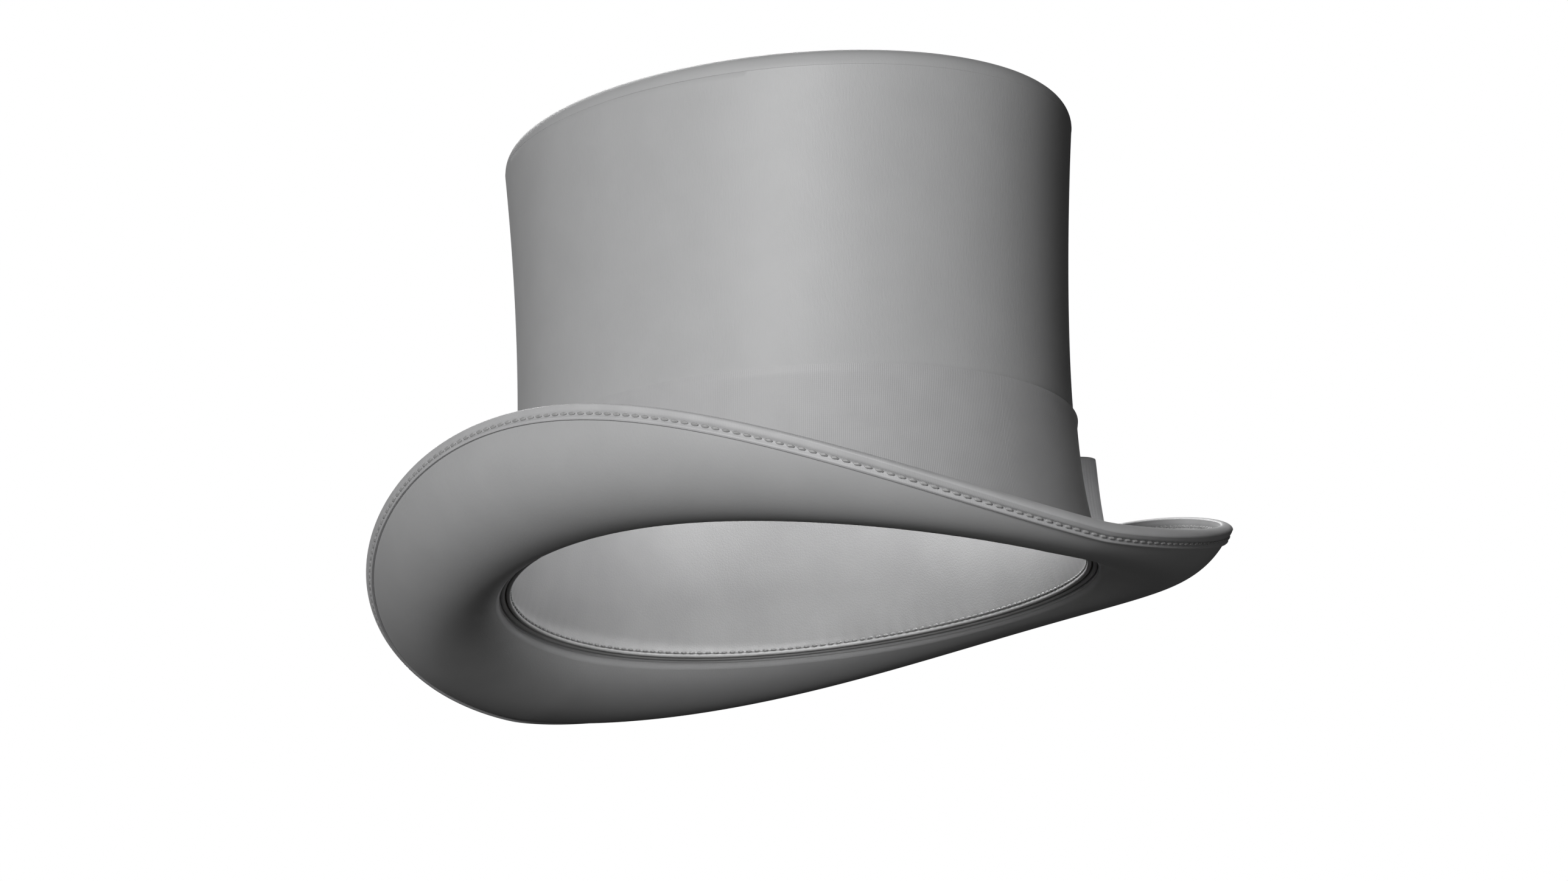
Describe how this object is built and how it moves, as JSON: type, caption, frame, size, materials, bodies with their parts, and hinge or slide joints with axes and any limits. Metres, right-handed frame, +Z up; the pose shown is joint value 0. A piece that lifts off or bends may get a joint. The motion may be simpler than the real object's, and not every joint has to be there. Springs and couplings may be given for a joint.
{
  "type": "top hat",
  "caption": "Formal top hat: waisted oval crown, brim curled up at the sides, ribbon band with side bow, bound and stitched edge, leather sweatband and satin lining.",
  "frame": {"origin": "centre of the oval head opening, level with the sweatband's bottom edge", "axes": "+Z up to the crown's tip, -Y to the front of the hat, +X to the wearer's left, where the bow is"},
  "size_m": [0.2446, 0.2847, 0.1633],
  "materials": {
    "felt_cover": "short-napped hatter's felt with a soft brushed sheen",
    "stiffened_shell": "stiffened woven cloth, matt",
    "binding_ribbon": "fine cross-ribbed ribbon",
    "band_ribbon": "grosgrain ribbon with fine ribs",
    "thread": "twisted sewing thread",
    "piping": "bias-cut cloth over a cord",
    "sweatband_leather": "smooth fine-grained leather",
    "reed_leather": "thin leather turned over a reed",
    "satin_lining": "satin weave"
  },
  "bodies": {
    "root": {"crown_side_cover": "felt_cover", "crown_tip_cover": "felt_cover", "crown_side_shell": "stiffened_shell", "crown_tip_shell": "stiffened_shell", "brim_top_cover": "felt_cover", "brim_core": "stiffened_shell", "brim_under_cover": "felt_cover", "brim_binding": "binding_ribbon", "binding_thread_under": "thread", "binding_thread_upper": "thread", "hat_band": "band_ribbon", "bow_front_loop": "band_ribbon", "bow_rear_loop": "band_ribbon", "bow_knot": "band_ribbon", "opening_piping": "piping", "sweatband": "sweatband_leather", "sweatband_reed": "reed_leather", "reed_tape": "stiffened_shell", "sweatband_thread": "thread", "side_lining": "satin_lining", "tip_lining": "satin_lining"}
  },
  "joints": []
}
